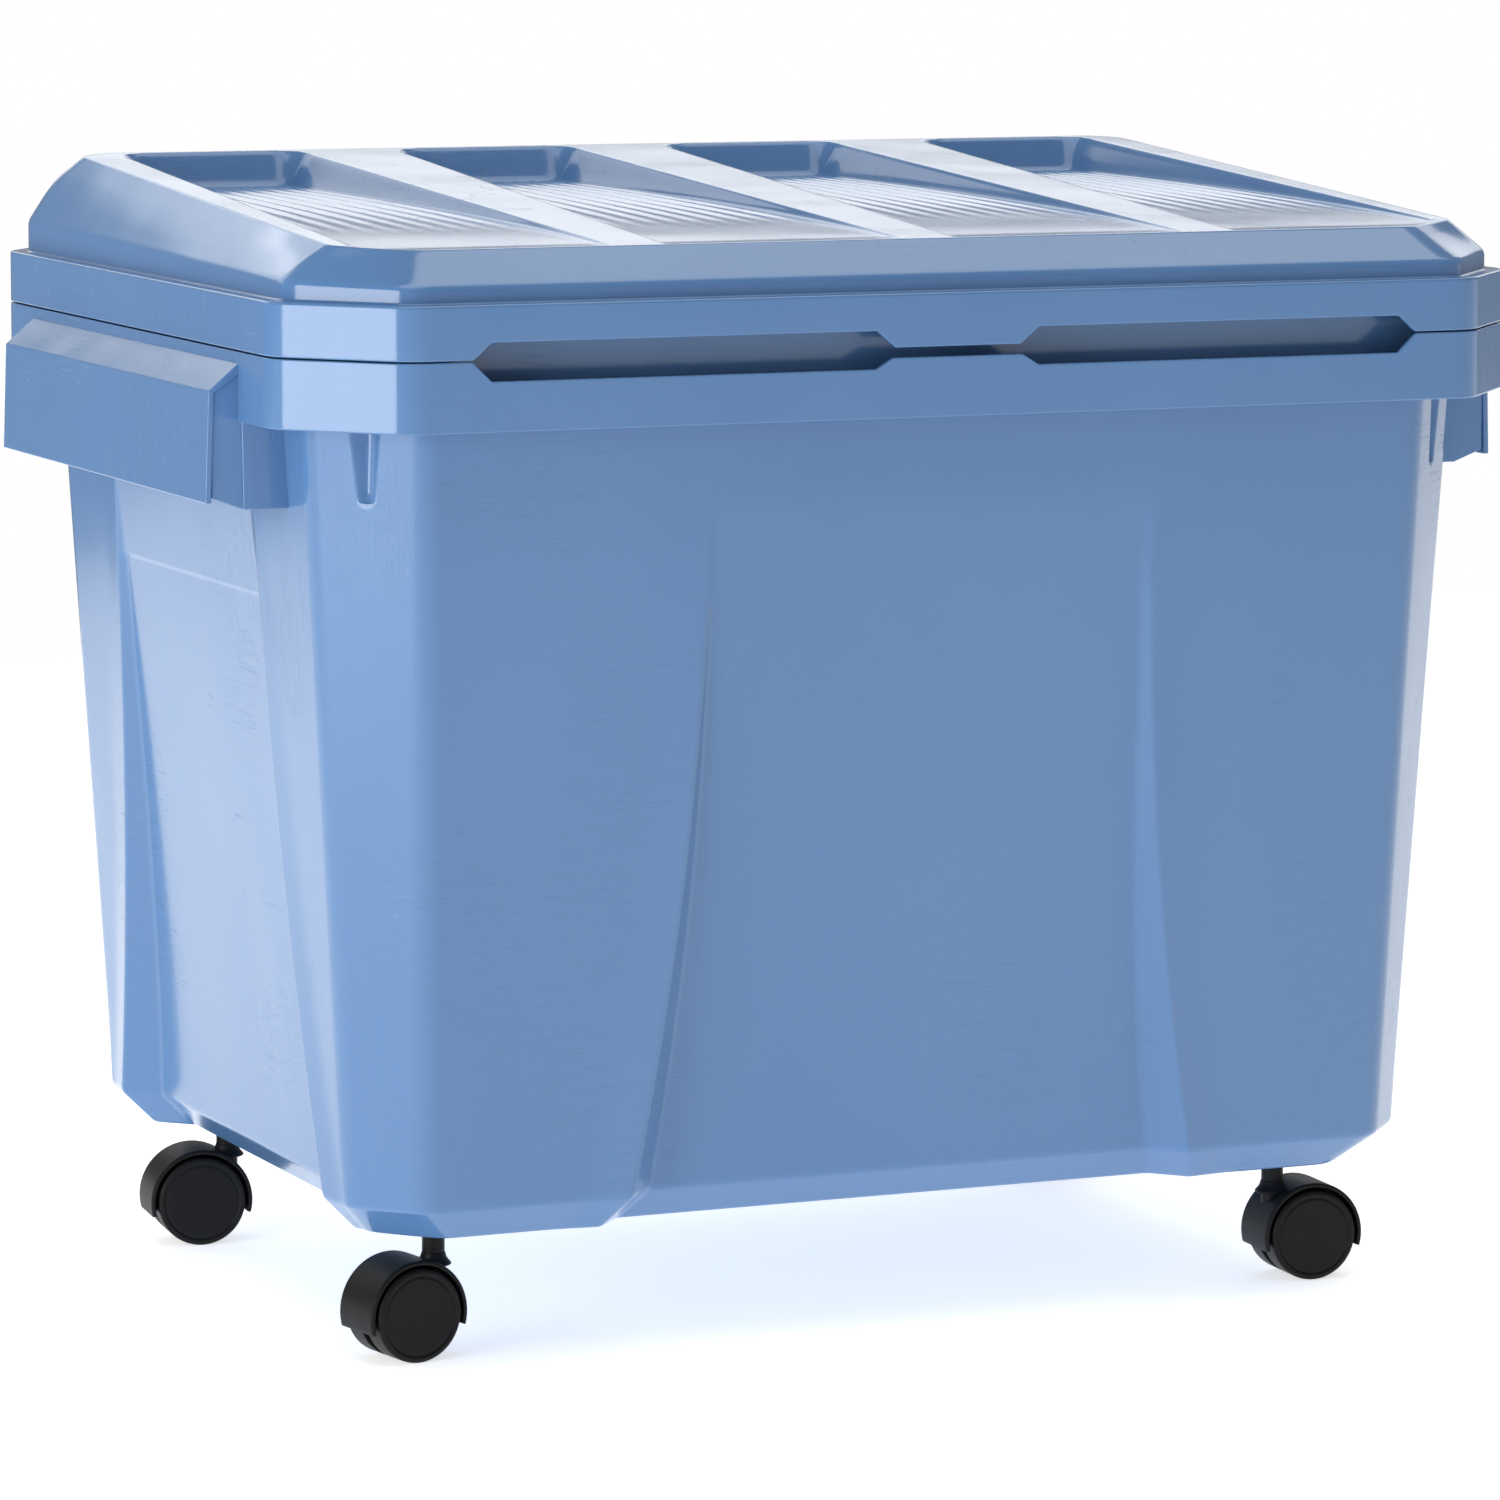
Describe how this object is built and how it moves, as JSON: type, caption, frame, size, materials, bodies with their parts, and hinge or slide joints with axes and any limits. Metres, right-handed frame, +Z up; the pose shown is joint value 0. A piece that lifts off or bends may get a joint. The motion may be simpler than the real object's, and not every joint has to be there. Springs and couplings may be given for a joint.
{
  "type": "pet food bin",
  "caption": "Blue moulded pet food bin with a hinged wedge-topped lid, side handles and swivelling twin-wheel casters",
  "frame": {"origin": "On the floor, under the middle of the bin", "axes": "+X to the viewer's right when facing the front, +Y to the hinged back, +Z up"},
  "size_m": [0.599, 0.435, 0.491],
  "materials": {
    "bin_plastic": "smooth moulded polypropylene",
    "steel": "zinc-plated steel",
    "caster_nylon": "fine-grained black nylon",
    "wheel_nylon": "smooth black nylon tread"
  },
  "bodies": {
    "tub": {"tub": "bin_plastic", "hinge_pin_left": "steel", "hinge_pin_right": "steel", "stem_fl": "steel", "grip_ring_fl": "steel", "stem_fr": "steel", "grip_ring_fr": "steel", "stem_bl": "steel", "grip_ring_bl": "steel", "stem_br": "steel", "grip_ring_br": "steel"},
    "lid": {"lid": "bin_plastic"},
    "caster_fl": {"hood_fl": "caster_nylon", "axle_fl": "steel"},
    "wheel_outer_fl": {"wheel_outer_fl": "wheel_nylon"},
    "wheel_inner_fl": {"wheel_inner_fl": "wheel_nylon"},
    "caster_fr": {"hood_fr": "caster_nylon", "axle_fr": "steel"},
    "wheel_outer_fr": {"wheel_outer_fr": "wheel_nylon"},
    "wheel_inner_fr": {"wheel_inner_fr": "wheel_nylon"},
    "caster_bl": {"hood_bl": "caster_nylon", "axle_bl": "steel"},
    "wheel_outer_bl": {"wheel_outer_bl": "wheel_nylon"},
    "wheel_inner_bl": {"wheel_inner_bl": "wheel_nylon"},
    "caster_br": {"hood_br": "caster_nylon", "axle_br": "steel"},
    "wheel_outer_br": {"wheel_outer_br": "wheel_nylon"},
    "wheel_inner_br": {"wheel_inner_br": "wheel_nylon"}
  },
  "joints": [
    {"name": "lid_hinge", "type": "hinge", "parent": "tub", "child": "lid", "pos_m": [0, 0.2115, 0.412], "axis": [-1, 0, 0], "range_deg": [0, 105]},
    {"name": "swivel_fl", "type": "hinge", "parent": "tub", "child": "caster_fl", "pos_m": [-0.199, -0.129, 0.05], "axis": [0, 0, 1], "continuous": true},
    {"name": "roll_outer_fl", "type": "hinge", "parent": "caster_fl", "child": "wheel_outer_fl", "pos_m": [-0.2133, -0.13139, 0.02], "axis": [0.165, -0.9863, 0], "continuous": true},
    {"name": "roll_inner_fl", "type": "hinge", "parent": "caster_fl", "child": "wheel_inner_fl", "pos_m": [-0.2133, -0.13139, 0.02], "axis": [0.165, -0.9863, 0], "continuous": true},
    {"name": "swivel_fr", "type": "hinge", "parent": "tub", "child": "caster_fr", "pos_m": [0.199, -0.129, 0.05], "axis": [0, 0, 1], "continuous": true},
    {"name": "roll_outer_fr", "type": "hinge", "parent": "caster_fr", "child": "wheel_outer_fr", "pos_m": [0.21348, -0.12984, 0.02], "axis": [0.0576, 0.9983, 0], "continuous": true},
    {"name": "roll_inner_fr", "type": "hinge", "parent": "caster_fr", "child": "wheel_inner_fr", "pos_m": [0.21348, -0.12984, 0.02], "axis": [0.0576, 0.9983, 0], "continuous": true},
    {"name": "swivel_bl", "type": "hinge", "parent": "tub", "child": "caster_bl", "pos_m": [-0.199, 0.129, 0.05], "axis": [0, 0, 1], "continuous": true},
    {"name": "roll_outer_bl", "type": "hinge", "parent": "caster_bl", "child": "wheel_outer_bl", "pos_m": [-0.2134, 0.13069, 0.02], "axis": [-0.1167, -0.9932, 0], "continuous": true},
    {"name": "roll_inner_bl", "type": "hinge", "parent": "caster_bl", "child": "wheel_inner_bl", "pos_m": [-0.2134, 0.13069, 0.02], "axis": [-0.1167, -0.9932, 0], "continuous": true},
    {"name": "swivel_br", "type": "hinge", "parent": "tub", "child": "caster_br", "pos_m": [0.199, 0.129, 0.05], "axis": [0, 0, 1], "continuous": true},
    {"name": "roll_outer_br", "type": "hinge", "parent": "caster_br", "child": "wheel_outer_br", "pos_m": [0.21336, 0.12698, 0.02], "axis": [0.1392, 0.9903, 0], "continuous": true},
    {"name": "roll_inner_br", "type": "hinge", "parent": "caster_br", "child": "wheel_inner_br", "pos_m": [0.21336, 0.12698, 0.02], "axis": [0.1392, 0.9903, 0], "continuous": true}
  ]
}
